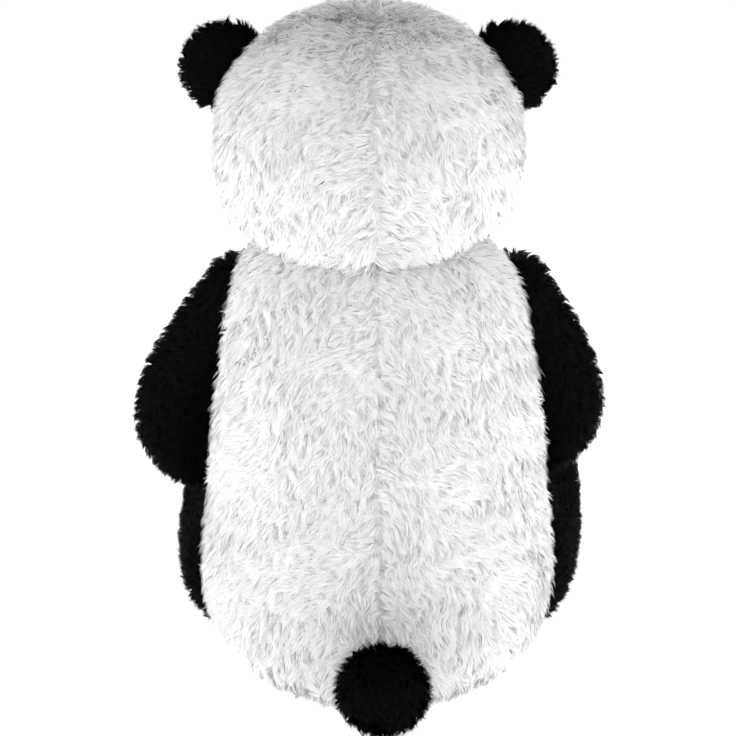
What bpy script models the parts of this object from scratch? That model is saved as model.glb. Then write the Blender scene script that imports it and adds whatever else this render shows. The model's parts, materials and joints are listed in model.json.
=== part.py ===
"""A large sitting plush panda: fabric panels sewn at real seams around polyester stuffing.

Metres, +Z up. The panda sits on z = 0 with its face towards -Y, so its left side is at +X.
The origin is on the flat underside of the seat, under the neck. Each fabric panel is as thick
as its pile is long, so its outer face is where the pile ends. Every limb is a closed bag of
its own that turns in a round hollow of the torso, on a wad of stuffing.
"""

import math

import bmesh
import bpy
from mathutils import Matrix, Vector

# Driving dimensions, in metres and degrees.
PILE = 0.012             # white plush, from the backing's inner face to the ends of the pile
SHORT_PILE = 0.008       # black plush of the tail and white plush of the muzzle
EAR_PILE = 0.006
SEAM = 0.0003            # clearance between two sewn pieces
FILLING_GAP = 0.001      # clearance of the stuffing inside its skin
TURNING = 0.003          # clearance of a ball end in its hollow

HEAD_CENTRE = Vector((0.0, 0.0, 0.565))
HEAD_BALL = 0.155        # radius of the head's round underside
HEAD_HOLLOW = 0.1635     # radius of the torso's hollow under it
NECK_RADIUS = 0.057
NECK_BASE = 0.364
NECK_TOP = 0.60          # of the cutter that leaves room for the neck's wad
NECK_WAD_TOP = 0.445     # where the neck's wad meets the head's round underside

LEAN = -0.010            # of the body from the head's middle, to the body's own right
SHOULDER = Vector((0.143, -0.076, 0.378))
SHOULDER_BALL = 0.052
SHOULDER_TURN = 25.0     # how far the swing axis points forward of sideways
ARM_SPREAD = {"left": 19.5, "right": 13.0}
ARM_FORWARD = {"left": 12.0, "right": 21.0}

HIP = Vector((0.140, -0.066, 0.072))
HIP_BALL = 0.074
HIP_AXIS = Vector((0.0, -0.422618, -0.906308))   # the leg's splay axis, down out of the hip
LEG_SPLAY = {"left": 1.0, "right": 4.0}
LEG_LIFT = 17.0          # how far the room that the leg lifts in opens on every side
LEG_ROOM = 0.14          # length of that room, from the hip to the front

EAR_ANGLE = 27.0         # of the ear's middle above the horizontal, seen from the front
EAR_REACH = 0.146        # from the head's centre to the ear's hinge
EAR_Y = -0.022
EAR_BASE = 0.043
EAR_HALF = 0.020
EAR_ROOM = 0.015         # how much wider the hollow is that the ear's base folds in

TAIL_HINGE = Vector((-0.015, 0.172, 0.056))
TAIL_TURN = -4.0
TAIL_HOLLOW = 0.025

SIDE_SEAM_Y = -0.035     # between the back panels and the front
SEAT_SEAM_Z = 0.030
YOKE_SEAM_Z = 0.270
HEAD_SEAM_Y = -0.030
SOLE_DEPTH = 0.020

EYE_RADIUS = 0.012
EYE_DOME = 0.0095        # height of the dome
EYE_SINK = 0.0055        # how deep the dome's widest part sits in the pile
EYE_RIM_LOW = -0.0085
EYE_SHANK_END = -0.027
EYE_SPOT = Vector((0.060, 0.0, 0.022))       # from the head's centre, on the face
PATCH_SIZE = (0.036, 0.044)
PATCH_TILT = 28.0
PATCH_SHIFT = Vector((0.004, 0.0, -0.006))   # of the patch's middle from the eye
PATCH_CUT = 0.12         # depth of the column that cuts the patch out
MUZZLE_SPOT = Vector((0.0, -0.130, -0.050))  # from the head's centre
MUZZLE_SIZE = Vector((0.072, 0.056, 0.050))
NOSE_SIZE = Vector((0.024, 0.011, 0.016))
NOSE_HEIGHT = 0.020      # above the muzzle's middle
NOSE_SHANK_END = -0.021
NOSE_BACK = 0.5          # how deep the nose's back is, of its front
NOSE_TILT = 24.0
SHANK_RADIUS = 0.0026
WASHER_RADIUS = 0.0095
EYE_WASHER_GAP = 0.0018  # between the face's backing and the eye's washer
POCKET_DEPTH = 0.030     # of the room that a washer has in the filling
POCKET_TOP = 0.02
NOSE_WASHER_RADIUS = 0.0075
NOSE_WASHER_TOP = -0.0115    # from the muzzle's outer face, along the nose's shank
WASHER_THICKNESS = 0.002
THREAD_RADIUS = 0.0016
SMILE_WIDTH = 0.030      # the mouth's line on the muzzle, from the muzzle's middle
SMILE_LOW = -0.019
SMILE_RISE = 0.010
LIP_TOP = 0.002          # the short line from the nose down to the mouth
LIP_END = -0.014

FAR = 1.0                # half size of a cutter that takes a whole side away
AROUND = 20              # faces round the torso and the head
LIMB_AROUND = 12
EAR_AROUND = 12
TAIL_AROUND = 12
EYE_SEGMENTS = 14
WAD_RADIUS = {"shoulder": 0.022, "hip": 0.022}
WAD_DEPTH = 0.018        # of a joint's wad beyond the ball end
WAD_TOP = 0.55           # of the ball's radius, where its hollowed top ends
WAD_GAP = 0.75           # of TURNING, between a wad and the ball end that turns on it

# Rings from top to bottom: height, half width, reach to the front, reach to the back.
TORSO_RINGS = (
    (0.486, 0.0, 0.0, 0.0),
    (0.482, 0.070, 0.050, 0.058),
    (0.468, 0.118, 0.082, 0.096),
    (0.440, 0.143, 0.096, 0.116),
    (0.400, 0.157, 0.106, 0.131),
    (0.335, 0.168, 0.117, 0.147),
    (0.260, 0.178, 0.131, 0.158),
    (0.180, 0.184, 0.134, 0.166),
    (0.105, 0.190, 0.122, 0.178),
    (0.052, 0.184, 0.108, 0.184),
    (0.018, 0.162, 0.088, 0.180),
    (0.0, 0.128, 0.064, 0.160),
    (0.0, 0.0, 0.0, 0.0),
)
# How full each ring is in front: 2 is an oval, and less is a rounded wedge between the arms.
TORSO_FULLNESS = (2.0, 1.9, 1.7, 1.5, 1.36, 1.34, 1.38, 1.5, 1.8, 2.0, 2.0, 2.0, 2.0)
# How far each ring lies to the left: the body leans to its right of the head's middle.
TORSO_BEND = (-0.002, -0.003, -0.004, -0.006, -0.009, -0.010, -0.010, -0.010, -0.010, -0.010, -0.010,
              -0.010, -0.010)
HEAD_RINGS = (
    (0.150, 0.0, 0.0, 0.0),
    (0.143, 0.057, 0.050, 0.052),
    (0.123, 0.101, 0.087, 0.090),
    (0.093, 0.134, 0.117, 0.121),
    (0.052, 0.157, 0.140, 0.144),
    (0.006, 0.166, 0.151, 0.154),
    (-0.038, 0.162, 0.149, 0.150),
    (-0.077, 0.150, 0.134, 0.134),
    (-0.104, 0.115, 0.114, 0.114),
    (-0.126, 0.089, 0.089, 0.089),
    (-0.147, 0.048, 0.048, 0.048),
    (-0.155, 0.0, 0.0, 0.0),
)
ARM_RINGS = (
    (0.052, 0.0, 0.0, 0.0),
    (0.045, 0.026, 0.026, 0.026),
    (0.026, 0.045, 0.045, 0.045),
    (0.0, 0.052, 0.052, 0.052),
    (-0.042, 0.049, 0.056, 0.048),
    (-0.084, 0.048, 0.059, 0.048),
    (-0.126, 0.050, 0.060, 0.051),
    (-0.166, 0.052, 0.059, 0.055),
    (-0.196, 0.052, 0.056, 0.053),
    (-0.221, 0.042, 0.044, 0.042),
    (-0.236, 0.024, 0.025, 0.024),
    (-0.240, 0.0, 0.0, 0.0),
)
# How far each ring of the arm lies outwards of the line through the shoulder.
ARM_BEND = (0.0, 0.0, 0.0, 0.0, 0.013, 0.022, 0.025, 0.019, 0.008, -0.004, -0.010, -0.012)
LEG_RINGS = (
    (0.074, 0.0, 0.0, 0.0),
    (0.064, 0.037, 0.037, 0.037),
    (0.037, 0.064, 0.064, 0.064),
    (0.0, 0.074, 0.074, 0.074),
    (-0.060, 0.072, 0.060, 0.074),
    (-0.125, 0.070, 0.054, 0.074),
    (-0.190, 0.069, 0.059, 0.074),
    (-0.245, 0.072, 0.080, 0.074),
    (-0.288, 0.073, 0.092, 0.073),
    (-0.314, 0.064, 0.084, 0.066),
    (-0.325, 0.040, 0.054, 0.044),
    (-0.327, 0.0, 0.0, 0.0),
)
# How far each ring of the leg lies outwards of the line through the hip.
LEG_BEND = (0.0, 0.0, 0.0, 0.0, 0.007, 0.011, 0.010, 0.006, 0.001, 0.0, 0.0, 0.0)
EAR_RINGS = (
    (0.066, 0.0, 0.0, 0.0),
    (0.060, 0.024, 0.011, 0.011),
    (0.044, 0.041, 0.017, 0.017),
    (0.020, 0.049, 0.020, 0.020),
    (0.0, 0.043, 0.020, 0.020),
    (-0.010, 0.0372, 0.0173, 0.0173),
    (-0.0165, 0.0243, 0.0113, 0.0113),
    (-0.020, 0.0, 0.0, 0.0),
)
TAIL_RINGS = (
    (0.009, 0.0, 0.0, 0.0),
    (0.004, 0.008, 0.008, 0.008),
    (-0.014, 0.012, 0.012, 0.012),
    (-0.026, 0.026, 0.025, 0.026),
    (-0.041, 0.041, 0.039, 0.041),
    (-0.062, 0.048, 0.046, 0.048),
    (-0.084, 0.042, 0.041, 0.042),
    (-0.101, 0.025, 0.025, 0.025),
    (-0.107, 0.0, 0.0, 0.0),
)

WHITE = ("white_plush", (0.90, 0.90, 0.89), 0.95)
BLACK = ("black_plush", (0.012, 0.012, 0.013), 0.95)
MUZZLE_WHITE = ("muzzle_plush", (0.92, 0.91, 0.89), 0.95)
SOLE = ("sole_fabric", (0.030, 0.030, 0.032), 0.90)
FILLING = ("polyester_filling", (0.94, 0.94, 0.92), 0.95)
EYE = ("eye_plastic", (0.010, 0.008, 0.007), 0.12)
NOSE = ("nose_plastic", (0.015, 0.015, 0.016), 0.35)
WASHER = ("washer_plastic", (0.80, 0.80, 0.78), 0.45)
THREAD = ("black_thread", (0.020, 0.020, 0.020), 0.70)

SIDES = {"left": 1.0, "right": -1.0}


def clear_scene():
    for thing in list(bpy.data.objects):
        bpy.data.objects.remove(thing, do_unlink=True)


def new_collection(name):
    collection = bpy.data.collections.new(name)
    bpy.context.scene.collection.children.link(collection)
    return collection


def material(look):
    name, colour, roughness = look
    made = bpy.data.materials.get(name)
    if made is None:
        made = bpy.data.materials.new(name)
        made.use_nodes = True
        shader = made.node_tree.nodes["Principled BSDF"]
        shader.inputs["Base Color"].default_value = (*colour, 1.0)
        shader.inputs["Roughness"].default_value = roughness
        shader.inputs["Metallic"].default_value = 0.0
        made.diffuse_color = (*colour, 1.0)
    return made


def add_object(name, mesh, collection, parent=None):
    made = bpy.data.objects.new(name, mesh)
    collection.objects.link(made)
    made.parent = parent
    return made


def add_part(name, mesh, look, parent=None):
    """A sub-part of the toy, with a mesh and a material of its own."""
    mesh = mesh.copy()
    mesh.name = name
    mesh.materials.clear()
    mesh.materials.append(material(look))
    mesh.shade_smooth()
    mesh.set_sharp_from_angle(angle=math.radians(40))
    return add_object(name, mesh, PARTS, parent)


def add_cutter(name, mesh, parent=None, place=None):
    made = add_object("cut_" + name, mesh, CUTTERS, parent)
    made.hide_render = True
    made.display_type = "WIRE"
    if place is not None:
        made.matrix_local = place
    return made


def empty(name, place):
    made = add_object(name, None, PARTS)
    made.matrix_world = place
    return made


def mesh_from(name, build):
    mesh = bpy.data.meshes.new(name)
    work = bmesh.new()
    build(work)
    work.to_mesh(mesh)
    work.free()
    return mesh


def power(value, exponent):
    return math.copysign(abs(value) ** exponent, value)


def ringed_form(name, rings, segments, bend=None, fullness=None):
    """A soft closed form: a sphere whose rings take the sizes given from top to bottom."""
    count = len(rings) - 1

    def build(work):
        bmesh.ops.create_uvsphere(work, u_segments=segments, v_segments=count, radius=1.0)
        for vertex in work.verts:
            polar = math.acos(max(-1.0, min(1.0, vertex.co.z)))
            ring = round(polar / math.pi * count)
            height, width, front, back = rings[ring]
            around = math.atan2(vertex.co.y, vertex.co.x)
            in_front = vertex.co.y < 0
            exponent = 2.0 / fullness[ring] if fullness and in_front else 1.0
            across = width * power(math.cos(around), exponent) + (bend[ring] if bend else 0.0)
            depth = (front if in_front else back) * power(math.sin(around), exponent)
            vertex.co = (across, depth, height)
        bmesh.ops.triangulate(work, faces=work.faces)

    return mesh_from(name, build)


def grown(name, mesh, distance):
    """The same form with its surface moved along its normals, inwards where negative."""
    made = mesh.copy()
    made.name = name
    moved = [vertex.co + vertex.normal * distance for vertex in made.vertices]
    for vertex, place in zip(made.vertices, moved):
        vertex.co = place
    return made


def ball_mesh(name, radius, segments=20, rings=10):
    def build(work):
        bmesh.ops.create_uvsphere(work, u_segments=segments, v_segments=rings, radius=radius)
    return mesh_from(name, build)


def box_mesh(name, low, high):
    """A box between two corners."""
    low, high = Vector(low), Vector(high)

    def build(work):
        bmesh.ops.create_cube(work, size=1.0)
        for vertex in work.verts:
            vertex.co = (low + high) / 2 + Vector(
                [vertex.co[i] * (high[i] - low[i]) for i in range(3)])
    return mesh_from(name, build)


def half_mesh(side):
    """Everything on one side of a seam in the middle."""
    if side == "left":
        return box_mesh("left_half", (SEAM / 2, -FAR, -FAR), (FAR, FAR, FAR))
    return box_mesh("right_half", (-FAR, -FAR, -FAR), (-SEAM / 2, FAR, FAR))


def rod_mesh(name, radius, low, high, segments=24):
    """A cylinder along Z between two heights."""
    def build(work):
        bmesh.ops.create_cone(work, cap_ends=True, segments=segments, radius1=radius,
                              radius2=radius, depth=high - low)
        bmesh.ops.translate(work, verts=work.verts, vec=(0, 0, (low + high) / 2))
    return mesh_from(name, build)


def turned_mesh(name, profile, segments, closed=False):
    """A profile of (radius, height) points at +X, top to bottom, turned about Z."""
    flat = bpy.data.meshes.new(name + "_profile")
    points = [(radius, 0.0, height) for radius, height in profile]
    edges = [(i, i + 1) for i in range(len(points) - 1)]
    if closed:
        edges.append((len(points) - 1, 0))
    flat.from_pydata(points, edges, [])
    turning = add_object(name + "_turning", flat, CUTTERS)
    screw = turning.modifiers.new("Turn", "SCREW")
    screw.steps = segments
    screw.render_steps = segments
    screw.use_merge_vertices = True
    screw.merge_threshold = 0.00001
    graph = bpy.context.evaluated_depsgraph_get()
    mesh = bpy.data.meshes.new_from_object(turning.evaluated_get(graph))
    bpy.data.objects.remove(turning, do_unlink=True)
    return mesh


def boolean(part, cutter, operation):
    step = part.modifiers.new(cutter.name, "BOOLEAN")
    step.object = cutter
    step.operation = operation
    step.solver = "EXACT"


def keep_inside(part, *cutters):
    for cutter in cutters:
        boolean(part, cutter, "INTERSECT")


def cut_away(part, *cutters):
    for cutter in cutters:
        boolean(part, cutter, "DIFFERENCE")


def panel(name, form, thickness, look, keep, away=(), parent=None):
    """A sewn panel: the skin of a form, as thick as its pile, kept inside its seams."""
    made = add_part(name, form, look, parent)
    skin = made.modifiers.new("Pile", "SOLIDIFY")
    skin.thickness = thickness
    skin.offset = -1.0
    keep_inside(made, *keep)
    cut_away(made, *away)
    return made


def stuffing(name, form, thickness, away=(), parent=None):
    """The filling of a form, just inside its skin."""
    made = add_part(name, grown(name, form, -(thickness + FILLING_GAP)), FILLING, parent)
    cut_away(made, *away)
    return made


def turned_to(axis):
    """A rotation that turns +Z towards an axis."""
    return Vector((0, 0, 1)).rotation_difference(Vector(axis)).to_matrix().to_4x4()


def side_point(point, side):
    return Vector((point.x * SIDES[side], point.y, point.z))


def limb_point(point, side):
    """A joint's centre on one side of the body, which leans."""
    return side_point(point, side) + Vector((LEAN, 0, 0))


def joint_wad(joint, side, place, ball, parent, away=()):
    """A wad between a ball end and the torso, turned about the joint's first axis (+Z here)."""
    name = joint + "_stuffing_" + side
    body = rod_mesh(name, WAD_RADIUS[joint], -(ball + WAD_DEPTH), -ball * WAD_TOP, 16)
    made = add_part(name, body, FILLING, parent)
    made.matrix_local = place
    cut_away(made, add_cutter(name, ball_mesh(name, ball + TURNING * WAD_GAP), parent), *away)


def wad_hollow(joint, ball):
    """The room that a joint's wad turns in."""
    radius = WAD_RADIUS[joint] + TURNING / 2
    return rod_mesh(joint + "_wad", radius, -(ball + WAD_DEPTH + TURNING), -ball * WAD_TOP, 16)


def torso_hollows():
    """The round hollows where the head, the arms, the legs and the tail sit, by name."""
    head, tail = Matrix.Translation(HEAD_CENTRE), Matrix.Translation(TAIL_HINGE)
    wad_room = rod_mesh("neck_wad", NECK_RADIUS + TURNING, NECK_BASE - TURNING, NECK_TOP)
    made = {
        "neck": [add_cutter("neck", ball_mesh("neck", HEAD_HOLLOW, 32, 16), None, head)],
        "neck_wad": [add_cutter("neck_wad", wad_room)],
        "tail": [add_cutter("tail", ball_mesh("tail", TAIL_HOLLOW, 12, 6), None, tail)],
        "shoulders": [], "hips": [], "wads": [],
    }
    for side in SIDES:
        shoulder = Matrix.Translation(limb_point(SHOULDER, side))
        hip = Matrix.Translation(limb_point(HIP, side))
        round_shoulder = ball_mesh("shoulder", SHOULDER_BALL + TURNING)
        round_hip = ball_mesh("hip", HIP_BALL + TURNING)
        made["shoulders"].append(add_cutter("shoulder_" + side, round_shoulder, None, shoulder))
        made["hips"].append(add_cutter("hip_" + side, round_hip, None, hip))
        made["hips"].append(add_cutter("leg_room_" + side, leg_room_mesh(), None, leg_place(side)))
        shoulder_room, hip_room = wad_hollow("shoulder", SHOULDER_BALL), wad_hollow("hip", HIP_BALL)
        made["wads"].append(add_cutter("shoulder_wad_" + side, shoulder_room, None,
                                       shoulder @ turned_to(swing_axis(side))))
        made["wads"].append(add_cutter("hip_wad_" + side, hip_room, None,
                                       hip @ turned_to(HIP_AXIS)))
    return made


def leg_room_mesh():
    """The widening room that the leg lifts and splays in, in front of its ball end."""
    start = HIP_BALL + TURNING
    end = start + LEG_ROOM * math.tan(math.radians(LEG_LIFT))

    def build(work):
        bmesh.ops.create_cone(work, cap_ends=True, segments=20, radius1=end, radius2=start,
                              depth=LEG_ROOM)
        bmesh.ops.translate(work, verts=work.verts, vec=(0, 0, -LEG_ROOM / 2))
    return mesh_from("leg_room", build)


def swing_axis(side):
    """The arm's swing axis, out of the shoulder and a little to the front."""
    turn = math.radians(SHOULDER_TURN)
    return Vector((math.cos(turn) * SIDES[side], -math.sin(turn), 0.0))


def build_torso():
    form = ringed_form("torso_form", TORSO_RINGS, AROUND, bend=TORSO_BEND,
                       fullness=TORSO_FULLNESS)
    hollows = torso_hollows()
    half = SEAM / 2
    back_start, front_end = SIDE_SEAM_Y + half, SIDE_SEAM_Y - half
    seat_top, body_low = SEAT_SEAM_Z - half, SEAT_SEAM_Z + half
    belly_top, yoke_low = YOKE_SEAM_Z - half, YOKE_SEAM_Z + half
    behind = add_cutter("behind", box_mesh("behind", (-FAR, back_start, body_low), (FAR, FAR, FAR)))
    above = add_cutter("above", box_mesh("above", (-FAR, -FAR, yoke_low), (FAR, front_end, FAR)))
    below = add_cutter("below", box_mesh("below", (-FAR, -FAR, body_low),
                                         (FAR, front_end, belly_top)))
    under = add_cutter("under", box_mesh("under", (-FAR, -FAR, -FAR), (FAR, FAR, seat_top)))
    neck, shoulders, hips = hollows["neck"], hollows["shoulders"], hollows["hips"]
    for side in SIDES:
        middle = Matrix.Translation((LEAN, 0, 0))
        half_box = add_cutter("torso_half_" + side, half_mesh(side), None, middle)
        panel("back_panel_" + side, form, PILE, WHITE, [behind, half_box],
              [*neck, *shoulders, *hips, *hollows["wads"], *hollows["tail"]])
    panel("chest_yoke", form, PILE, BLACK, [above], [*neck, *shoulders, *hollows["wads"]])
    panel("belly_panel", form, PILE, WHITE, [below], [*shoulders, *hips, *hollows["wads"]])
    panel("seat_panel", form, PILE, WHITE, [under], hips)
    stuffing("torso_stuffing", form, PILE, [cutter for group in hollows.values() for cutter in group])


def build_neck():
    """The wad in the neck: it turns in the torso, and the head nods on it."""
    turn = empty("neck_pivot", Matrix.Translation(HEAD_CENTRE))
    base = NECK_BASE - HEAD_CENTRE.z
    top = NECK_WAD_TOP - HEAD_CENTRE.z
    wad = add_part("neck_stuffing", rod_mesh("neck_stuffing", NECK_RADIUS, base, top), FILLING, turn)
    round_top = ball_mesh("neck_ball", HEAD_BALL + TURNING * WAD_GAP, 32, 16)
    cut_away(wad, add_cutter("neck_ball", round_top, turn))


def face_height(x, z):
    """How far in front of the head's centre the face lies, from the rings of the head."""
    for upper, lower in zip(HEAD_RINGS, HEAD_RINGS[1:]):
        if lower[0] <= z <= upper[0]:
            share = (upper[0] - z) / (upper[0] - lower[0])
            width = upper[1] + (lower[1] - upper[1]) * share
            front = upper[2] + (lower[2] - upper[2]) * share
            return front * math.sqrt(1.0 - (x / width) ** 2)
    raise ValueError("the point lies above or below the head")


def face_place(spot, side):
    """A frame on the face whose +Z points straight out of it."""
    x = spot.x * SIDES[side]
    step = 0.004
    along_x = Vector((2 * step, face_height(x - step, spot.z) - face_height(x + step, spot.z), 0))
    along_z = Vector((0, face_height(x, spot.z - step) - face_height(x, spot.z + step), 2 * step))
    outward = along_x.cross(along_z).normalized()
    place = Vector((x, -face_height(x, spot.z), spot.z))
    return Matrix.Translation(place) @ turned_to(outward)


def eye_profile(extra):
    """The eye's outline: a dome whose rim sits in the pile, and a shank through the backing."""
    shank, rim = SHANK_RADIUS + extra, EYE_RADIUS + extra
    turns = [math.radians(degrees) for degrees in (0, 30, 60, 90)]
    dome = [(rim * math.sin(turn), EYE_DOME * math.cos(turn) - EYE_SINK + extra) for turn in turns]
    return [*dome, (rim, EYE_RIM_LOW - extra), (shank, EYE_RIM_LOW - extra),
            (shank, EYE_SHANK_END - extra), (0.0, EYE_SHANK_END - extra)]


def washer_mesh(name, inner, outer, top):
    """A flat ring with its upper face at a height."""
    low = top - WASHER_THICKNESS
    profile = [(inner, top), (outer, top), (outer, low), (inner, low)]
    return turned_mesh(name, profile, EYE_SEGMENTS, closed=True)


def patch_cutter(name, place, side, extra, parent):
    """An upright oval column that marks an eye patch, drooping outwards."""
    def build(work):
        bmesh.ops.create_cone(work, cap_ends=True, segments=20, radius1=1.0, radius2=1.0,
                              depth=PATCH_CUT)
        bmesh.ops.scale(work, verts=work.verts,
                        vec=(PATCH_SIZE[0] + extra, PATCH_SIZE[1] + extra, 1.0))
    across = Matrix.Rotation(math.radians(90), 4, "X")
    droop = Matrix.Rotation(math.radians(-PATCH_TILT * SIDES[side]), 4, "Y")
    spot = Matrix.Translation(place.translation + side_point(PATCH_SHIFT, side))
    return add_cutter(name, mesh_from(name, build), parent, spot @ droop @ across)


def build_eyes(pivot, form, front):
    """Eyes with their patches and washers. Returns what the face and the filling must leave."""
    holes, pockets = [], []
    for side in SIDES:
        place = face_place(EYE_SPOT, side)
        clear = turned_mesh("eye_hole", eye_profile(SEAM), EYE_SEGMENTS)
        hole = add_cutter("eye_" + side, clear, pivot, place)
        patch = patch_cutter("patch_" + side, place, side, -SEAM / 2, pivot)
        panel("eye_patch_" + side, form, PILE, BLACK, [patch, front], [hole], pivot)
        eye = add_part("eye_" + side, turned_mesh("eye", eye_profile(0.0), EYE_SEGMENTS), EYE, pivot)
        eye.matrix_local = place
        top = -(PILE + EYE_WASHER_GAP)
        washer = add_part("eye_washer_" + side,
                          washer_mesh("washer", SHANK_RADIUS + SEAM, WASHER_RADIUS, top), WASHER, pivot)
        washer.matrix_local = place
        holes.append(patch_cutter("patch_hole_" + side, place, side, SEAM / 2, pivot))
        pocket = rod_mesh("eye_pocket", WASHER_RADIUS + 2 * SEAM, -POCKET_DEPTH, POCKET_TOP)
        pockets.append(add_cutter("eye_pocket_" + side, pocket, pivot, place))
    return holes, pockets


def muzzle_depth(x, z):
    """How far the muzzle's surface lies in front of its middle."""
    inside = 1.0 - (x / MUZZLE_SIZE.x) ** 2 - (z / MUZZLE_SIZE.z) ** 2
    return MUZZLE_SIZE.y * math.sqrt(max(0.0, inside))


def thread_line(name, points, pivot):
    """An embroidered line that lies on the muzzle."""
    curve = bpy.data.curves.new(name, "CURVE")
    curve.dimensions = "3D"
    curve.bevel_depth = THREAD_RADIUS
    curve.bevel_resolution = 1
    curve.use_fill_caps = True
    spline = curve.splines.new("POLY")
    spline.points.add(len(points) - 1)
    for point, (x, z) in zip(spline.points, points):
        lift = muzzle_depth(x, z) + THREAD_RADIUS + SEAM
        point.co = (MUZZLE_SPOT.x + x, MUZZLE_SPOT.y - lift, MUZZLE_SPOT.z + z, 1.0)
    curve.materials.append(material(THREAD))
    add_object(name, curve, PARTS, pivot)


def build_muzzle(pivot, head_clear):
    def build(work):
        bmesh.ops.create_uvsphere(work, u_segments=16, v_segments=10, radius=1.0)
        bmesh.ops.rotate(work, verts=work.verts, matrix=Matrix.Rotation(math.radians(90), 3, "X"))
        bmesh.ops.scale(work, verts=work.verts, vec=MUZZLE_SIZE)
        bmesh.ops.translate(work, verts=work.verts, vec=MUZZLE_SPOT)
    form = mesh_from("muzzle_form", build)
    spot = MUZZLE_SPOT + Vector((0, -muzzle_depth(0, NOSE_HEIGHT), NOSE_HEIGHT))
    lean = Vector((0, -math.cos(math.radians(NOSE_TILT)), math.sin(math.radians(NOSE_TILT))))
    place = Matrix.Translation(spot) @ turned_to(lean)
    nose = add_part("nose", nose_mesh(0.0), NOSE, pivot)
    nose.matrix_local = place
    nose_hole = add_cutter("nose", nose_mesh(SEAM), pivot, place)
    ring = washer_mesh("nose_washer", SHANK_RADIUS + SEAM, NOSE_WASHER_RADIUS, NOSE_WASHER_TOP)
    washer = add_part("nose_washer", ring, WASHER, pivot)
    washer.matrix_local = place
    room = rod_mesh("nose_pocket", NOSE_WASHER_RADIUS + 2 * SEAM, NOSE_SHANK_END - TURNING,
                    POCKET_TOP)
    pocket = add_cutter("nose_pocket", room, pivot, place)
    skin = add_part("muzzle", form, MUZZLE_WHITE, pivot)
    solid = skin.modifiers.new("Pile", "SOLIDIFY")
    solid.thickness = SHORT_PILE
    solid.offset = -1.0
    cut_away(skin, head_clear, nose_hole)
    stuffing("muzzle_stuffing", form, SHORT_PILE, [head_clear, pocket], pivot)
    turns = [math.radians(degrees) for degrees in range(-75, 76, 15)]
    smile = [(SMILE_WIDTH * math.sin(turn), SMILE_LOW + SMILE_RISE * (1 - math.cos(turn)))
             for turn in turns]
    thread_line("mouth_stitch", smile, pivot)
    step = (LIP_TOP - LIP_END) / 5
    thread_line("lip_stitch", [(0.0, LIP_TOP - step * i) for i in range(6)], pivot)


def nose_mesh(extra):
    """An oval dome with a round shank behind it, joined into one solid."""
    def build(work):
        bmesh.ops.create_uvsphere(work, u_segments=14, v_segments=8, radius=1.0)
        bmesh.ops.scale(work, verts=work.verts,
                        vec=(NOSE_SIZE.x + extra, NOSE_SIZE.z + extra, NOSE_SIZE.y + extra))
        for vertex in work.verts:
            if vertex.co.z < 0:
                vertex.co.z *= NOSE_BACK
    dome = add_object("nose_dome", mesh_from("nose_dome", build), CUTTERS)
    rod = rod_mesh("nose_shank", SHANK_RADIUS + extra, NOSE_SHANK_END - extra, 0.0, 12)
    shank = add_object("nose_shank", rod, CUTTERS)
    boolean(dome, shank, "UNION")
    graph = bpy.context.evaluated_depsgraph_get()
    mesh = bpy.data.meshes.new_from_object(dome.evaluated_get(graph))
    for thing in (dome, shank):
        bpy.data.objects.remove(thing, do_unlink=True)
    return mesh


def ear_place(side):
    """The ear's frame at its hinge: +Z out of the head, X along the hinge, Y to the back."""
    lift = math.radians(90 - EAR_ANGLE) * SIDES[side]
    out = Matrix.Rotation(lift, 4, "Y")
    spot = out @ Vector((0, 0, EAR_REACH))
    return Matrix.Translation(HEAD_CENTRE + spot + Vector((0, EAR_Y, 0))) @ out


def build_ears():
    form = ringed_form("ear_form", EAR_RINGS, EAR_AROUND)
    half = SEAM / 2
    hollows = []
    for side in SIDES:
        pivot = empty("ear_pivot_" + side, ear_place(side))
        front = add_cutter("ear_front_" + side,
                           box_mesh("ear_front", (-FAR, -FAR, -FAR), (FAR, -half, FAR)), pivot)
        back = add_cutter("ear_back_" + side,
                          box_mesh("ear_back", (-FAR, half, -FAR), (FAR, FAR, FAR)), pivot)
        panel("ear_front_" + side, form, EAR_PILE, BLACK, [front], (), pivot)
        panel("ear_back_" + side, form, EAR_PILE, BLACK, [back], (), pivot)
        stuffing("ear_stuffing_" + side, form, EAR_PILE, (), pivot)
        hollow = ball_mesh("ear_hollow", 1.0, 16, 8)
        size = Matrix.Diagonal((EAR_BASE + EAR_ROOM, EAR_HALF + EAR_ROOM, EAR_HALF + EAR_ROOM, 1.0))
        hollow.transform(ear_place(side) @ size)
        hollows.append(add_cutter("ear_hollow_" + side, hollow))
    return hollows


def build_head(ear_hollows):
    pivot = empty("head_pivot", Matrix.Translation(HEAD_CENTRE))
    form = ringed_form("head_form", HEAD_RINGS, AROUND)
    half = SEAM / 2
    behind_seam = box_mesh("head_behind", (-FAR, HEAD_SEAM_Y + half, -FAR), (FAR, FAR, FAR))
    before_seam = box_mesh("head_front", (-FAR, -FAR, -FAR), (FAR, HEAD_SEAM_Y - half, FAR))
    behind = add_cutter("head_behind", behind_seam, pivot)
    front = add_cutter("head_front", before_seam, pivot)
    holes, pockets = build_eyes(pivot, form, front)
    for side in SIDES:
        panel("head_back_" + side, form, PILE, WHITE, [behind, SIDE_BOXES[side]], ear_hollows, pivot)
    panel("face_panel", form, PILE, WHITE, [front], [*holes, *ear_hollows], pivot)
    stuffing("head_stuffing", form, PILE, [*pockets, *ear_hollows], pivot)
    head_clear = add_cutter("head_clear", grown("head_clear", form, SEAM), pivot)
    build_muzzle(pivot, head_clear)


def arm_place(side):
    """The arm's frame at the shoulder: its length along -Z, its outer side away from the body."""
    spread = Matrix.Rotation(math.radians(-ARM_SPREAD[side]) * SIDES[side], 4, "Y")
    forward = Matrix.Rotation(math.radians(-ARM_FORWARD[side]), 4, "X")
    return Matrix.Translation(limb_point(SHOULDER, side)) @ forward @ spread


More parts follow.
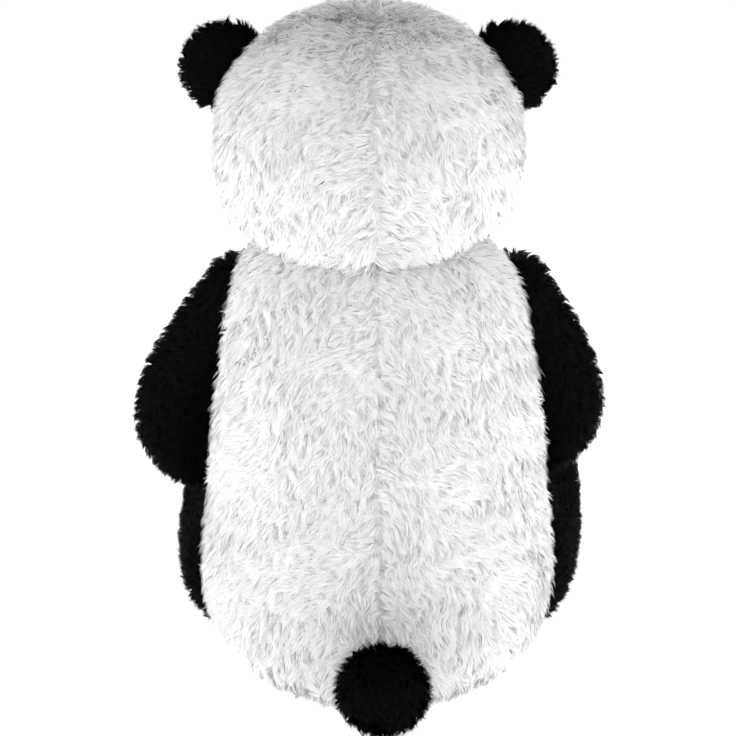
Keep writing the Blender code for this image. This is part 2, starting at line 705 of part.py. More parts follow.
def build_arm(side):
    outwards = [offset * SIDES[side] for offset in ARM_BEND]
    form = ringed_form("arm_form_" + side, ARM_RINGS, LIMB_AROUND, bend=outwards)
    pivot = empty("arm_pivot_" + side, arm_place(side))
    other = "right" if side == "left" else "left"
    halves = {name: add_cutter("arm_%s_half_%s" % (name, side), half_mesh(name), pivot)
              for name in SIDES}
    panel("arm_outer_" + side, form, PILE, BLACK, [halves[side]], (), pivot)
    panel("arm_inner_" + side, form, PILE, BLACK, [halves[other]], (), pivot)
    stuffing("arm_stuffing_" + side, form, PILE, (), pivot)
    shoulder = empty("shoulder_pivot_" + side, Matrix.Translation(limb_point(SHOULDER, side)))
    joint_wad("shoulder", side, turned_to(swing_axis(side)), SHOULDER_BALL, shoulder)


def leg_place(side):
    """The leg's frame at the hip: its length along -Z, which points to the front."""
    splay = Matrix.Rotation(math.radians(LEG_SPLAY[side]) * SIDES[side], 4, "Z")
    forward = Matrix.Rotation(math.radians(-90), 4, "X")
    return Matrix.Translation(limb_point(HIP, side)) @ splay @ forward


def build_leg(side):
    outwards = [offset * SIDES[side] for offset in LEG_BEND]
    form = ringed_form("leg_form_" + side, LEG_RINGS, LIMB_AROUND, bend=outwards)
    pivot = empty("leg_pivot_" + side, leg_place(side))
    half = SEAM / 2
    end = LEG_RINGS[-1][0] + SOLE_DEPTH
    ground_box = box_mesh("ground", (-FAR, -FAR, -FAR), (FAR, FAR, 0.0))
    top_box = box_mesh("leg_top", (-FAR, -FAR, end + half), (FAR, -half, FAR))
    under_box = box_mesh("leg_under", (-FAR, half, end + half), (FAR, FAR, FAR))
    sole_box = box_mesh("sole", (-FAR, -FAR, -FAR), (FAR, FAR, end - half))
    ground = add_cutter("ground_" + side, ground_box)
    top = add_cutter("leg_top_" + side, top_box, pivot)
    under = add_cutter("leg_under_" + side, under_box, pivot)
    sole = add_cutter("sole_" + side, sole_box, pivot)
    panel("leg_top_" + side, form, PILE, BLACK, [top], (ground,), pivot)
    panel("leg_under_" + side, form, PILE, BLACK, [under], (ground,), pivot)
    panel("sole_" + side, form, PILE, SOLE, [sole], (ground,), pivot)
    stuffing("leg_stuffing_" + side, form, PILE, (), pivot)
    hip = empty("hip_pivot_" + side, Matrix.Translation(limb_point(HIP, side)))
    room = add_cutter("wad_room_" + side, leg_room_mesh(), pivot)
    joint_wad("hip", side, turned_to(HIP_AXIS), HIP_BALL, hip, [room])


def build_tail():
    """A round tail on a short gathered neck, pointing to the back."""
    turn = Matrix.Rotation(math.radians(TAIL_TURN), 4, "X")
    back = Matrix.Rotation(math.radians(90), 4, "X")
    pivot = empty("tail_pivot", Matrix.Translation(TAIL_HINGE) @ turn @ back)
    form = ringed_form("tail_form", TAIL_RINGS, TAIL_AROUND)
    half = SEAM / 2
    upper_box = box_mesh("tail_upper", (-FAR, half, -FAR), (FAR, FAR, FAR))
    lower_box = box_mesh("tail_lower", (-FAR, -FAR, -FAR), (FAR, -half, FAR))
    upper = add_cutter("tail_upper", upper_box, pivot)
    lower = add_cutter("tail_lower", lower_box, pivot)
    panel("tail_upper", form, SHORT_PILE, BLACK, [upper], (), pivot)
    panel("tail_lower", form, SHORT_PILE, BLACK, [lower], (), pivot)
    stuffing("tail_stuffing", form, SHORT_PILE, (), pivot)


clear_scene()
PARTS = new_collection("plush_panda")
CUTTERS = new_collection("cutters")
SIDE_BOXES = {side: add_cutter(side + "_half", half_mesh(side)) for side in SIDES}

build_torso()
build_neck()
build_head(build_ears())
for each_side in SIDES:
    build_arm(each_side)
    build_leg(each_side)
build_tail()
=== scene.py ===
"""The looks of a large sitting plush panda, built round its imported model.

Every fabric panel is a thin backing with a pile of its own: tufts of tapered fibres that are real
mesh, combed along each panel. The backing lies a pile's depth inside the form that the packed
panels have, so the ends of the pile reach that form.
"""

import json
import math

import bmesh
import bpy
import numpy as np
from mathutils import Matrix, Vector


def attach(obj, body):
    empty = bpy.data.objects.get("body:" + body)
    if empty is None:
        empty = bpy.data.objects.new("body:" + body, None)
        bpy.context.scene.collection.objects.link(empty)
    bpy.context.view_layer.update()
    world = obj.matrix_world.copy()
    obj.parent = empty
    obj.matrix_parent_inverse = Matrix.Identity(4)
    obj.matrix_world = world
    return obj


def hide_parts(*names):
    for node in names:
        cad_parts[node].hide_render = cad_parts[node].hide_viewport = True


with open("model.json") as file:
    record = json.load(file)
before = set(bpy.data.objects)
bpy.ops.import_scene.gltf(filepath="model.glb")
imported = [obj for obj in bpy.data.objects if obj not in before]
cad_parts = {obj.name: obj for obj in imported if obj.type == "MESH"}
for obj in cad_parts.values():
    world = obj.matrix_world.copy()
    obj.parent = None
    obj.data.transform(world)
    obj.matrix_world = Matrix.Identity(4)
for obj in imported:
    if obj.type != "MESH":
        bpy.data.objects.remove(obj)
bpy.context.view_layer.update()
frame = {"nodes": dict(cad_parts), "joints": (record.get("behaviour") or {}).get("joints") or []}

SIDES = {"left": 1.0, "right": -1.0}

# The forms, in metres, each in its own frame: rings from top to bottom, with their height, half
# width, reach to the front and reach to the back.
TORSO_RINGS = (
    (0.486, 0.0, 0.0, 0.0),
    (0.482, 0.070, 0.050, 0.058),
    (0.468, 0.118, 0.082, 0.096),
    (0.440, 0.143, 0.096, 0.116),
    (0.400, 0.157, 0.106, 0.131),
    (0.335, 0.168, 0.117, 0.147),
    (0.260, 0.178, 0.131, 0.158),
    (0.180, 0.184, 0.134, 0.166),
    (0.105, 0.190, 0.122, 0.178),
    (0.052, 0.184, 0.108, 0.184),
    (0.018, 0.162, 0.088, 0.180),
    (0.0, 0.128, 0.064, 0.160),
    (0.0, 0.0, 0.0, 0.0),
)
TORSO_FULLNESS = (2.0, 1.9, 1.7, 1.5, 1.36, 1.34, 1.38, 1.5, 1.8, 2.0, 2.0, 2.0, 2.0)
# How far each ring lies to the left: the body leans to its right of the head's middle.
TORSO_BEND = (-0.002, -0.003, -0.004, -0.006, -0.009, -0.010, -0.010, -0.010, -0.010, -0.010, -0.010,
              -0.010, -0.010)
HEAD_RINGS = (
    (0.150, 0.0, 0.0, 0.0),
    (0.143, 0.057, 0.050, 0.052),
    (0.123, 0.101, 0.087, 0.090),
    (0.093, 0.134, 0.117, 0.121),
    (0.052, 0.157, 0.140, 0.144),
    (0.006, 0.166, 0.151, 0.154),
    (-0.038, 0.162, 0.149, 0.150),
    (-0.077, 0.150, 0.134, 0.134),
    (-0.104, 0.115, 0.114, 0.114),
    (-0.126, 0.089, 0.089, 0.089),
    (-0.147, 0.048, 0.048, 0.048),
    (-0.155, 0.0, 0.0, 0.0),
)
ARM_RINGS = (
    (0.052, 0.0, 0.0, 0.0),
    (0.045, 0.026, 0.026, 0.026),
    (0.026, 0.045, 0.045, 0.045),
    (0.0, 0.052, 0.052, 0.052),
    (-0.042, 0.049, 0.056, 0.048),
    (-0.084, 0.048, 0.059, 0.048),
    (-0.126, 0.050, 0.060, 0.051),
    (-0.166, 0.052, 0.059, 0.055),
    (-0.196, 0.052, 0.056, 0.053),
    (-0.221, 0.042, 0.044, 0.042),
    (-0.236, 0.024, 0.025, 0.024),
    (-0.240, 0.0, 0.0, 0.0),
)
ARM_BEND = (0.0, 0.0, 0.0, 0.0, 0.013, 0.022, 0.025, 0.019, 0.008, -0.004, -0.010, -0.012)
LEG_RINGS = (
    (0.074, 0.0, 0.0, 0.0),
    (0.064, 0.037, 0.037, 0.037),
    (0.037, 0.064, 0.064, 0.064),
    (0.0, 0.074, 0.074, 0.074),
    (-0.060, 0.072, 0.060, 0.074),
    (-0.125, 0.070, 0.054, 0.074),
    (-0.190, 0.069, 0.059, 0.074),
    (-0.245, 0.072, 0.080, 0.074),
    (-0.288, 0.073, 0.092, 0.073),
    (-0.314, 0.064, 0.084, 0.066),
    (-0.325, 0.040, 0.054, 0.044),
    (-0.327, 0.0, 0.0, 0.0),
)
LEG_BEND = (0.0, 0.0, 0.0, 0.0, 0.007, 0.011, 0.010, 0.006, 0.001, 0.0, 0.0, 0.0)
EAR_RINGS = (
    (0.066, 0.0, 0.0, 0.0),
    (0.060, 0.024, 0.011, 0.011),
    (0.044, 0.041, 0.017, 0.017),
    (0.020, 0.049, 0.020, 0.020),
    (0.0, 0.043, 0.020, 0.020),
    (-0.010, 0.0372, 0.0173, 0.0173),
    (-0.0165, 0.0243, 0.0113, 0.0113),
    (-0.020, 0.0, 0.0, 0.0),
)
TAIL_RINGS = (
    (0.009, 0.0, 0.0, 0.0),
    (0.004, 0.008, 0.008, 0.008),
    (-0.014, 0.012, 0.012, 0.012),
    (-0.026, 0.026, 0.025, 0.026),
    (-0.041, 0.041, 0.039, 0.041),
    (-0.062, 0.048, 0.046, 0.048),
    (-0.084, 0.042, 0.041, 0.042),
    (-0.101, 0.025, 0.025, 0.025),
    (-0.107, 0.0, 0.0, 0.0),
)

# Where the forms are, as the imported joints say.
JOINTS = {joint["name"]: joint for joint in frame["joints"]}
HEAD_CENTRE = Vector(JOINTS["neck_turn"]["pos_m"])
SHOULDERS = {side: Vector(JOINTS["arm_%s_swing" % side]["pos_m"]) for side in SIDES}
HIPS = {side: Vector(JOINTS["leg_%s_splay" % side]["pos_m"]) for side in SIDES}
TAIL_HINGE = Vector(JOINTS["tail_wag"]["pos_m"])
LEAN = -0.010            # of the body from the head's middle, to the body's own right
# How the limbs, the ears and the tail rest, in degrees, and where the ears are hinged.
ARM_SPREAD = {"left": 19.5, "right": 13.0}
ARM_FORWARD = {"left": 12.0, "right": 21.0}
LEG_SPLAY = {"left": 1.0, "right": 4.0}
EAR_ANGLE = 27.0
EAR_REACH = 0.146
EAR_Y = -0.022
TAIL_TURN = -4.0
# The seams between the panels.
SIDE_SEAM_Y = -0.035
SEAT_SEAM_Z = 0.030
YOKE_SEAM_Z = 0.270
HEAD_SEAM_Y = -0.030
SOLE_START = -0.307      # along the leg from the hip

# The face, with each spot from the head's centre.
EYE_SPOT = Vector((0.060, 0.0, 0.022))
EYE_RADIUS = 0.012
EYE_DOME = 0.0095        # height of the dome
EYE_SINK = 0.0055        # how deep the dome's widest part sits in the pile
PATCH_SIZE = (0.036, 0.044)
PATCH_TILT = 28.0
PATCH_SHIFT = Vector((0.004, 0.0, -0.006))
MUZZLE_SPOT = Vector((0.0, -0.130, -0.050))
MUZZLE_SIZE = Vector((0.072, 0.056, 0.050))
NOSE_HEIGHT = 0.020
NOSE_TILT = 24.0
NOSE_SIZE = Vector((0.024, 0.011, 0.016))

BACKING = 0.0015         # thickness of a panel's backing
EAR_BACKING = 0.0012
PATCH_BACKING = 0.001
PATCH_RAISE = 0.0012     # of an eye patch's backing over the face's
GROUND_GAP = 0.0010      # the lowest that the pile reaches over the floor
FAR_AWAY = 9.0           # any distance outside the eye patches

# The set: a lit floor in a white room, with round lamps aimed at the toy's middle.
ROOM_LIGHT = 0.235
FLOOR_GLOW = 0.75
MIDDLE = (0.0, 0.0, 0.320)
LAMPS = (                # name, place, width, power
    ("softbox_left", (2.0, 0.9, 1.1), 1.6, 29),
    ("softbox_right", (-2.0, 0.9, 1.1), 1.6, 29),
    ("softbox_top", (0.0, 0.8, 2.3), 1.6, 3),
    ("softbox_behind", (0.2, 4.4, 1.7), 1.0, 25),
    ("softbox_front", (0.0, -2.2, 1.3), 1.8, 34),
)
CAMERA_LENS = 200        # millimetres, on a sensor 36 wide
CAMERA_DISTANCE = 4.294
CAMERA_RISE = 18.0       # degrees above the horizontal

rng = np.random.default_rng(20240611)


# ---------------------------------------------------------------- numbers and fields

def unit(vectors):
    return vectors / np.maximum(np.linalg.norm(vectors, axis=-1, keepdims=True), 1e-9)


def dots(a, b):
    return np.sum(a * b, axis=-1, keepdims=True)


def wave_field(wavelength, waves=10):
    """A smooth random field in space, between about -1 and 1, as a function of points."""
    directions = unit(rng.normal(size=(waves, 3)))
    lengths = wavelength * rng.uniform(0.7, 1.5, size=(waves, 1))
    turns = directions * 2 * math.pi / lengths
    phases = rng.uniform(0, 2 * math.pi, size=waves)

    def field(points):
        return np.sin(points @ turns.T + phases).sum(axis=-1) / math.sqrt(waves)
    return field


def smoothstep(low, high, value):
    share = np.clip((value - low) / (high - low), 0.0, 1.0)
    return share * share * (3 - 2 * share)


def through_rows(rows, places):
    """A smooth curve through a table's rows, read at fractional row numbers."""
    rows = np.asarray(rows, float)
    if rows.ndim == 1:
        rows = rows[:, None]
    first = np.minimum(np.floor(places).astype(int), len(rows) - 2)
    share = (places - first)[:, None]
    a, b = rows[np.maximum(first - 1, 0)], rows[first]
    c, d = rows[first + 1], rows[np.minimum(first + 2, len(rows) - 1)]
    return 0.5 * (2 * b + (c - a) * share + (2 * a - 5 * b + 4 * c - d) * share ** 2
                  + (3 * b - a - 3 * c + d) * share ** 3)


# ---------------------------------------------------------------- forms

class Form:
    """A smooth closed form: a grid of points from its top to its bottom, with normals."""

    def __init__(self, rings, place=Matrix(), bend=None, fullness=None, around=144, along=110):
        places = np.linspace(0, len(rings) - 1, along)
        height, width, front, back = through_rows(rings, places).T
        shift = through_rows(bend, places)[:, 0] if bend is not None else np.zeros(along)
        full = through_rows(fullness, places)[:, 0] if fullness is not None else np.full(along, 2.0)
        width, front, back = (np.maximum(row, 0.0)[:, None] for row in (width, front, back))
        angle = np.linspace(-math.pi, math.pi, around, endpoint=False)[None, :]
        across, deep = np.cos(angle), np.sin(angle)
        exponent = np.where(deep < 0, 2.0 / full[:, None], 1.0)
        x = width * np.sign(across) * np.abs(across) ** exponent + shift[:, None]
        y = np.where(deep < 0, front, back) * np.sign(deep) * np.abs(deep) ** exponent
        z = np.broadcast_to(height[:, None], x.shape)
        self.set_points(np.stack([x, y, z], axis=-1), place)

    def set_points(self, points, place):
        self.local = points
        matrix = np.array(place)
        self.points = points @ matrix[:3, :3].T + matrix[:3, 3]
        up = np.gradient(self.points, axis=0)
        turn = np.roll(self.points, -1, axis=1) - np.roll(self.points, 1, axis=1)
        normals = np.cross(turn, -up)
        middle = self.points.reshape(-1, 3).mean(axis=0)
        if dots(normals, self.points - middle).sum() < 0:
            normals = -normals
        normals[0], normals[-1] = normals[1].mean(axis=0), normals[-2].mean(axis=0)
        self.normals = unit(normals)

    def inset(self, depth):
        """The grid moved inwards by a depth, which may vary over the grid."""
        return self.points - self.normals * np.broadcast_to(depth, self.points.shape[:2])[..., None]

    def sample(self, count, wanted):
        """Places spread evenly over the part of the form where wanted(points, local) is true."""
        points, local = self.points, self.local
        nxt = np.roll(points, -1, axis=1)
        along = points[1:] - points[:-1]
        cell = np.linalg.norm(np.cross(along, (nxt - points)[:-1]), axis=-1)
        middle = (points[:-1] + points[1:] + nxt[:-1] + nxt[1:]) / 4
        next_local = np.roll(local, -1, axis=1)
        middle_local = (local[:-1] + local[1:] + next_local[:-1] + next_local[1:]) / 4
        weight = (cell * wanted(middle, middle_local)).ravel()
        area = weight.sum()
        total = int(round(count * area))
        steps = (np.arange(total) + rng.uniform(size=total)) / total * area
        chosen = np.searchsorted(np.cumsum(weight), steps).clip(0, weight.size - 1)
        row, column = np.divmod(chosen, points.shape[1])
        column_next = (column + 1) % points.shape[1]
        down, side = rng.uniform(size=(2, total, 1))

        def mixed(grid):
            top = grid[row, column] * (1 - side) + grid[row, column_next] * side
            low = grid[row + 1, column] * (1 - side) + grid[row + 1, column_next] * side
            return top * (1 - down) + low * down
        return mixed(points), unit(mixed(self.normals)), mixed(local)


def grid_mesh(name, grid):
    """A closed mesh from a grid whose first and last rows are single points."""
    rows, around = grid.shape[:2]
    inner = grid[1:-1].reshape(-1, 3)
    vertices = np.vstack([inner, grid[0, :1], grid[-1, :1]])
    index = np.arange((rows - 2) * around).reshape(rows - 2, around)
    right = np.roll(index, -1, axis=1)
    faces = np.stack([index[:-1], index[1:], right[1:], right[:-1]], axis=-1).reshape(-1, 4).tolist()
    top, low = len(inner), len(inner) + 1
    faces += [(top, int(a), int(b)) for a, b in zip(index[0], right[0])]
    faces += [(low, int(b), int(a)) for a, b in zip(index[-1], right[-1])]
    mesh = bpy.data.meshes.new(name)
    mesh.from_pydata(vertices.tolist(), [], faces)
    return mesh


# ---------------------------------------------------------------- pieces

def add_piece(name, mesh, look, body):
    made = bpy.data.objects.new(name, mesh)
    bpy.context.scene.collection.objects.link(made)
    mesh.materials.clear()
    mesh.materials.append(look)
    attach(made, body)
    return made


def skin(name, grid, keep, look, body, nodes, thickness=BACKING):
    """A panel's backing: the grid's surface on the kept side of each seam plane."""
    mesh = grid_mesh(name, grid)
    work = bmesh.new()
    work.from_mesh(mesh)
    bmesh.ops.recalc_face_normals(work, faces=work.faces)
    for point, out in keep:
        bmesh.ops.bisect_plane(work, geom=work.verts[:] + work.edges[:] + work.faces[:], dist=1e-6,
                               plane_co=point, plane_no=out, clear_outer=True)
    work.to_mesh(mesh)
    work.free()
    mesh.shade_smooth()
    made = add_piece(name, mesh, look, body)
    solid = made.modifiers.new("Backing", "SOLIDIFY")
    solid.thickness = thickness
    solid.offset = -1.0
    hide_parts(*nodes)
    return made


def strand_mesh(name, lines, sides, widths, tones, outward, softness):
    """Tapered fibres: lines is (fibre, point, xyz), and each ends in one point.

    A fibre is shaded partly by its own face and partly, by softness, by the pile's outward way.
    """
    count, points = lines.shape[:2]
    left = lines[:, :-1] - sides[:, None] * widths[:, :, None] / 2
    right = lines[:, :-1] + sides[:, None] * widths[:, :, None] / 2
    body = np.stack([left, right], axis=2).reshape(count, -1, 3)
    vertices = np.concatenate([body, lines[:, -1:]], axis=1)
    each = vertices.shape[1]
    pattern = []
    for i in range(points - 2):
        a = 2 * i
        pattern += [(a, a + 3, a + 1), (a, a + 2, a + 3)]
    pattern.append((each - 3, each - 1, each - 2))
    pattern = np.array(pattern)
    corners = (pattern[None] + (np.arange(count) * each)[:, None, None]).reshape(-1)
    faces = len(corners) // 3
    mesh = bpy.data.meshes.new(name)
    mesh.vertices.add(count * each)
    mesh.vertices.foreach_set("co", vertices.astype(np.float32).ravel())
    mesh.loops.add(len(corners))
    mesh.loops.foreach_set("vertex_index", corners.astype(np.int32))
    mesh.polygons.add(faces)
    mesh.polygons.foreach_set("loop_start", np.arange(0, 3 * faces, 3, dtype=np.int32))
    mesh.polygons.foreach_set("use_smooth", np.ones(faces, dtype=bool))
    mesh.update(calc_edges=True)
    along = np.repeat(np.arange(points - 1), 2) / (points - 1)
    along = np.append(along, 1.0)
    uv = np.empty((count, each, 2), np.float32)
    uv[:, :, 0] = np.clip(tones, 0.01, 0.99)[:, None]
    uv[:, :, 1] = np.clip(along, 0.01, 0.99)[None]
    ways = np.gradient(lines, axis=1)
    own = unit(np.cross(np.broadcast_to(sides[:, None], ways.shape), ways))
    own = own * np.where(dots(own, outward[:, None]) < 0, -1.0, 1.0)
    shaded = unit(own * (1 - softness) + outward[:, None] * softness)
    shaded = shaded[:, np.append(np.repeat(np.arange(points - 1), 2), points - 1)]
    normal = mesh.attributes.new("custom_normal", "FLOAT_VECTOR", "POINT")
    normal.data.foreach_set("vector", shaded.astype(np.float32).ravel())
    layer = mesh.uv_layers.new(name="OFBake")
    layer.data.foreach_set("uv", uv.reshape(-1, 2)[corners].ravel())
    return mesh


def turned(vectors, axes, angles):
    """Vectors turned about unit axes that they are square to."""
    return vectors * np.cos(angles)[:, None] + np.cross(axes, vectors) * np.sin(angles)[:, None]


def tufts(name, roots, normals, flows, look, body, slot, *, length, lean, width, strands, spread,
          segments=3, wander=0.35, curl=0.35, tone=None, pull=0.7, floor=None, softness=0.85):
    """A pile: tufts at the roots, each a few fibres that start apart and close towards the tip.

    lean is how steeply a tuft starts and ends, in degrees above the backing.
    """
    count = len(roots)
    if not count:
        return None
    flows = unit(flows - normals * dots(flows, normals))
    flows = turned(flows, normals, rng.normal(0, wander, count))
    bends = rng.normal(0, curl, count)
    lengths = length * rng.uniform(0.78, 1.18, count)
    start = np.radians(lean[0]) + rng.normal(0, 0.16, count)
    end = np.radians(lean[1]) + rng.normal(0, 0.16, count)
    centre = np.zeros((count, segments + 1, 3))
    for i in range(segments):
        share = i / max(segments - 1, 1)
        rise = start + (end - start) * share
        way = turned(flows, normals, bends * share)
        step = way * np.cos(rise)[:, None] + normals * np.sin(rise)[:, None]
        centre[:, i + 1] = centre[:, i] + step * (lengths / segments)[:, None]
    sideways = np.cross(normals, flows)
    total = count * strands
    pick = np.repeat(np.arange(count), strands)
    radius = spread * np.sqrt(rng.uniform(size=total))
    angle = rng.uniform(0, 2 * math.pi, total)
    offset = (flows[pick] * (radius * np.cos(angle))[:, None]
              + sideways[pick] * (radius * np.sin(angle))[:, None])
    closing = (pull * np.linspace(0, 1, segments + 1) ** 1.2)[None, :, None]
    own = rng.uniform(0.75, 1.15, total)[:, None, None]
    lines = roots[pick][:, None] + centre[pick] * own + offset[:, None] * (1 - closing)
    stray = rng.normal(0, 0.06, (total, 1, 3)) * length * np.linspace(0, 1, segments + 1)[None, :, None]
    lines = lines + stray
    roll = rng.normal(0, 0.6, total)[:, None]
    across = unit(sideways[pick] * np.cos(roll) + normals[pick] * np.sin(roll))
    taper = np.linspace(1.0, 0.55, segments)[None]
    widths = width * rng.uniform(0.75, 1.25, (total, 1)) * taper
    tones = rng.normal(0.5, 0.12, total)
    if tone is not None:
        tones = tones + tone[pick]
    if floor is not None:
        low = floor + rng.uniform(0.0, 0.0015, total)[:, None]
        lines[..., 2] = np.maximum(lines[..., 2], low)
    mesh = strand_mesh(name, lines, across, widths, tones, normals[pick], softness)
    if floor is not None:
        flat = np.empty(len(mesh.vertices) * 3, np.float32)
        mesh.vertices.foreach_get("co", flat)
        flat = flat.reshape(-1, 3)
        flat[:, 2] = np.maximum(flat[:, 2], floor * 0.6)
        mesh.vertices.foreach_set("co", flat.ravel())
    return add_piece(name, mesh, look, body)


# ---------------------------------------------------------------- materials

def new_material(name, roughness, sheen=0.0, sheen_roughness=0.5, specular=0.5):
    made = bpy.data.materials.new(name)
    made.use_nodes = True
    shader = made.node_tree.nodes["Principled BSDF"]
    shader.inputs["Roughness"].default_value = roughness
    shader.inputs["Specular IOR Level"].default_value = specular
    shader.inputs["Sheen Weight"].default_value = sheen
    shader.inputs["Sheen Roughness"].default_value = sheen_roughness
    return made, made.node_tree.nodes, made.node_tree.links, shader


def ramp_node(nodes, stops):
    ramp = nodes.new("ShaderNodeValToRGB")
    elements = ramp.color_ramp.elements
    while len(elements) < len(stops):
        elements.new(0.5)
    for element, (place, colour) in zip(elements, stops):
        element.position = place
        element.color = (*colour, 1.0)
    return ramp


def fibre_material(name, along, across, roughness, **extras):
    """Fibres: one ramp from root to tip, darker at the root as painted shade deep in the pile, times one
    ramp over the fibres' tones.
    """
    made, nodes, links, shader = new_material(name, roughness, **extras)
    place = nodes.new("ShaderNodeUVMap")
    place.uv_map = "OFBake"
    parts = nodes.new("ShaderNodeSeparateXYZ")
    links.new(place.outputs["UV"], parts.inputs["Vector"])
    root_tip_shade, tones = ramp_node(nodes, along), ramp_node(nodes, across)
    links.new(parts.outputs["Y"], root_tip_shade.inputs["Fac"])
    links.new(parts.outputs["X"], tones.inputs["Fac"])
    mix = nodes.new("ShaderNodeMix")
    mix.data_type = "RGBA"
    mix.blend_type = "MULTIPLY"
    mix.inputs["Factor"].default_value = 1.0
    links.new(root_tip_shade.outputs["Color"], mix.inputs["A"])
    links.new(tones.outputs["Color"], mix.inputs["B"])
    links.new(mix.outputs["Result"], shader.inputs["Base Color"])
    return made


def cloth_material(name, dark, light, scale, roughness, bump, **extras):
    """Knit backing, felt or wadding: fine noise in colour and height."""
    made, nodes, links, shader = new_material(name, roughness, **extras)
    place = nodes.new("ShaderNodeTexCoord")
    noise = nodes.new("ShaderNodeTexNoise")
    noise.inputs["Scale"].default_value = scale
    noise.inputs["Detail"].default_value = 6.0
    links.new(place.outputs["Object"], noise.inputs["Vector"])
    ramp = ramp_node(nodes, ((0.3, dark), (0.7, light)))
    links.new(noise.outputs["Fac"], ramp.inputs["Fac"])
    links.new(ramp.outputs["Color"], shader.inputs["Base Color"])
    height = nodes.new("ShaderNodeBump")
    height.inputs["Strength"].default_value = bump
    height.inputs["Distance"].default_value = 0.001
    links.new(noise.outputs["Fac"], height.inputs["Height"])
    links.new(height.outputs["Normal"], shader.inputs["Normal"])
    return made


# The white fibres are painted darker towards the root than at the tip: painted shade deep in the pile.
WHITE_PILE = fibre_material(
    "white_pile", ((0.0, (0.93, 0.93, 0.925)), (0.5, (0.965, 0.965, 0.962)), (1.0, (0.98, 0.98, 0.978))),
    ((0.0, (0.94, 0.94, 0.94)), (0.6, (0.99, 0.99, 0.99)), (1.0, (1.0, 1.0, 1.0))), 0.75, sheen=0.1)
# The black fibres are painted darker towards the root than at the tip: painted shade deep in the pile.
BLACK_PILE = fibre_material(
    "black_pile", ((0.0, (0.0008, 0.0008, 0.0008)), (0.6, (0.0016, 0.0016, 0.0017)),
                   (1.0, (0.0040, 0.0040, 0.0044))),
    ((0.0, (0.5, 0.5, 0.5)), (0.7, (0.8, 0.8, 0.8)), (1.0, (1.0, 1.0, 1.0))), 0.65, specular=0.05)
# The white backing is knit cloth, painted a little greyer than the white pile's fibres: painted shade
# among the roots, seen through the pile.
WHITE_BACKING_ROOT_SHADE = cloth_material("white_backing_root_shade", (0.88, 0.88, 0.875), (0.94, 0.94, 0.935), 900, 0.9, 0.5)
BLACK_BACKING = cloth_material("black_backing", (0.0008, 0.0008, 0.0008), (0.002, 0.002, 0.002),
                               900, 0.9, 0.5, specular=0.1)
SOLE_CLOTH = cloth_material("sole_cloth", (0.008, 0.008, 0.009), (0.030, 0.030, 0.032), 1400, 0.85, 0.9,
                            sheen=0.2)
WADDING = cloth_material("polyester_wadding", (0.78, 0.78, 0.76), (0.93, 0.93, 0.91), 350, 0.95, 0.8)
THREAD = cloth_material("black_thread_twist", (0.006, 0.006, 0.006), (0.03, 0.03, 0.03), 2500, 0.6, 0.8)
WASHER = cloth_material("washer_moulding", (0.72, 0.72, 0.70), (0.80, 0.80, 0.78), 500, 0.5, 0.1)
EYE_GLOSS = cloth_material("eye_gloss", (0.006, 0.004, 0.003), (0.012, 0.008, 0.006), 300, 0.08, 0.02)
NOSE_SATIN = cloth_material("nose_satin", (0.010, 0.010, 0.011), (0.020, 0.020, 0.021), 700, 0.35, 0.25)


# ---------------------------------------------------------------- body: torso

DENSITY = {"white": 32000, "black": 24000}     # tufts in a square metre
PILE_DEPTH = 0.011

BIG_SWIRL = wave_field(0.11)
SMALL_SWIRL = wave_field(0.035)
FINE_SWIRL = wave_field(0.016)
LUMPS = wave_field(0.07)
TONE_FIELD = wave_field(0.05)


def seam_line(height):
    """Where the pile parts behind, on the body and the head, a little wavy."""
    return LEAN + 0.002 - 0.004 * (1 - smoothstep(0.05, 0.42, height)) + 0.0025 * np.sin(height * 31)


def swirled(flows, normals, points, big=0.45, small=0.45, fine=0.30):
    """The flows laid on the surface and turned by the swirls."""
    angle = (big * BIG_SWIRL(points) + small * SMALL_SWIRL(points) + fine * FINE_SWIRL(points))
    flows = unit(flows - normals * dots(flows, normals))
    return turned(flows, normals, angle)


def white_pile(name, form, wanted, body, flow, slot="white_plush", density=None, depth=PILE_DEPTH,
               length=0.0165, lean=(62, 8), **extras):
    points, normals, _ = form.sample(density or DENSITY["white"], wanted)
    flows = swirled(flow(points), normals, points)
    lump = LUMPS(points)
    roots = points - normals * (depth + 0.0012 - 0.0010 * lump)[:, None]
    # The fibres are painted lighter where a lump raises the pile and darker where the pile sinks: painted
    # shade in its hollows. The tone field on top of that varies at random.
    tone = 0.10 * TONE_FIELD(points) + 0.10 * lump
    settings = dict(length=length, lean=lean, width=0.0010, strands=9, spread=0.0046, tone=tone,
                    pull=0.30, wander=0.22, curl=0.25)
    settings.update(extras)
    return tufts(name, roots, normals, flows, WHITE_PILE, body, slot, **settings)


def black_pile(name, form, wanted, body, flow, slot="black_plush", density=None, depth=PILE_DEPTH,
               length=0.0135, lean=(70, 25), **extras):
    points, normals, _ = form.sample(density or DENSITY["black"], wanted)
    flows = swirled(flow(points), normals, points, 0.3, 0.4, 0.5)
    roots = points - normals * depth
    tone = 0.08 * TONE_FIELD(points)
    settings = dict(length=length, lean=lean, width=0.0014, strands=8, spread=0.0032, tone=tone,
                    segments=2)
    settings.update(extras)
    return tufts(name, roots, normals, flows, BLACK_PILE, body, slot, **settings)


def in_ball(points, centre, radius):
    return np.linalg.norm(points - np.array(centre), axis=-1) < radius


